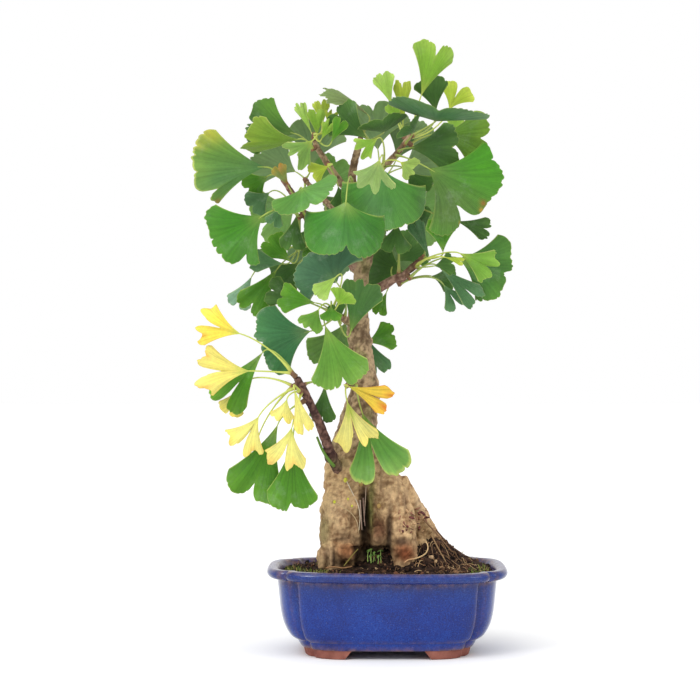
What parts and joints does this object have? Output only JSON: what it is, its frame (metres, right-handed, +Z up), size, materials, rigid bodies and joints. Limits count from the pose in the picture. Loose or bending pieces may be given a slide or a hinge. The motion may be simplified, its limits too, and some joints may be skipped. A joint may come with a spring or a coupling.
{
  "type": "ginkgo bonsai",
  "caption": "Ginkgo bonsai with a knobbly flared trunk, green and yellow fan leaves, in a blue glazed quatrefoil pot.",
  "frame": {"origin": "on the table, under the middle of the whole object's bounding box; the pot's middle is about 26 mm to +X of it", "axes": "+Z up, +X to the viewer's right along the pot's long side, -Y towards the viewer"},
  "size_m": [0.2314, 0.1816, 0.4542],
  "materials": {
    "glaze": "glossy",
    "terracotta": "matte",
    "screen": "matte",
    "soil": "matte",
    "bark": "rough",
    "leaf_green": "satin",
    "leaf_dark": "satin",
    "leaf_bluish": "satin",
    "leaf_young": "satin",
    "leaf_yellow": "satin"
  },
  "bodies": {
    "root": {"pot": "glaze", "drain_screen_left": "screen", "drain_screen_right": "screen", "soil": "soil", "trunk": "bark", "leaf_top_upright": "leaf_young", "leaves_top_small": "leaf_young", "leaf_top_dark": "leaf_dark", "leaf_right_top_wide": "leaf_dark", "leaf_right_top_olive": "leaf_dark", "leaves_top_left": "leaf_dark", "leaf_top_centre": "leaf_dark", "leaf_top_right_centre": "leaf_dark", "leaf_right_shade": "leaf_dark", "leaf_right_large": "leaf_green", "leaf_front_centre": "leaf_green", "leaf_front_right": "leaf_green", "leaves_front_small": "leaf_young", "leaves_left_upper": "leaf_dark", "leaf_left_large": "leaf_green", "leaf_left_under": "leaf_green", "leaf_left_butterfly": "leaf_green", "leaf_left_lower_large": "leaf_green", "leaves_left_inner": "leaf_bluish", "leaves_left_hanging": "leaf_green", "leaves_young_shoot": "leaf_young", "leaf_young_yellow": "leaf_young", "leaf_left_variegated": "leaf_yellow", "leaf_middle_bluish": "leaf_bluish", "leaf_middle_ribbed": "leaf_green", "leaves_middle_small": "leaf_young", "leaf_middle_right": "leaf_green", "leaves_middle_left": "leaf_green", "leaf_middle_left_large": "leaf_bluish", "leaf_middle_hanging": "leaf_green", "leaves_behind_trunk": "leaf_green", "leaves_right_behind": "leaf_dark", "leaf_right_under_front": "leaf_dark", "leaves_right_upright": "leaf_green", "leaf_right_dark_small": "leaf_dark", "leaves_right_lower": "leaf_green", "leaves_right_light": "leaf_young", "leaves_right_shade": "leaf_dark", "leaves_low_yellow": "leaf_yellow", "leaf_low_green_left": "leaf_green", "leaves_low_small": "leaf_yellow", "leaf_low_yellow_lobed": "leaf_yellow", "leaves_low_front": "leaf_yellow", "leaf_low_yellow_fork": "leaf_yellow", "leaves_low_green": "leaf_green", "leaves_trunk_yellow": "leaf_yellow", "leaf_trunk_green_large": "leaf_green", "leaf_trunk_dark": "leaf_dark", "leaf_rear_top": "leaf_dark", "leaves_rear_right": "leaf_dark", "leaves_rear_middle": "leaf_dark", "leaves_rear_left": "leaf_dark", "leaf_rear_left_middle": "leaf_bluish", "leaf_rear_low": "leaf_green"}
  },
  "joints": []
}
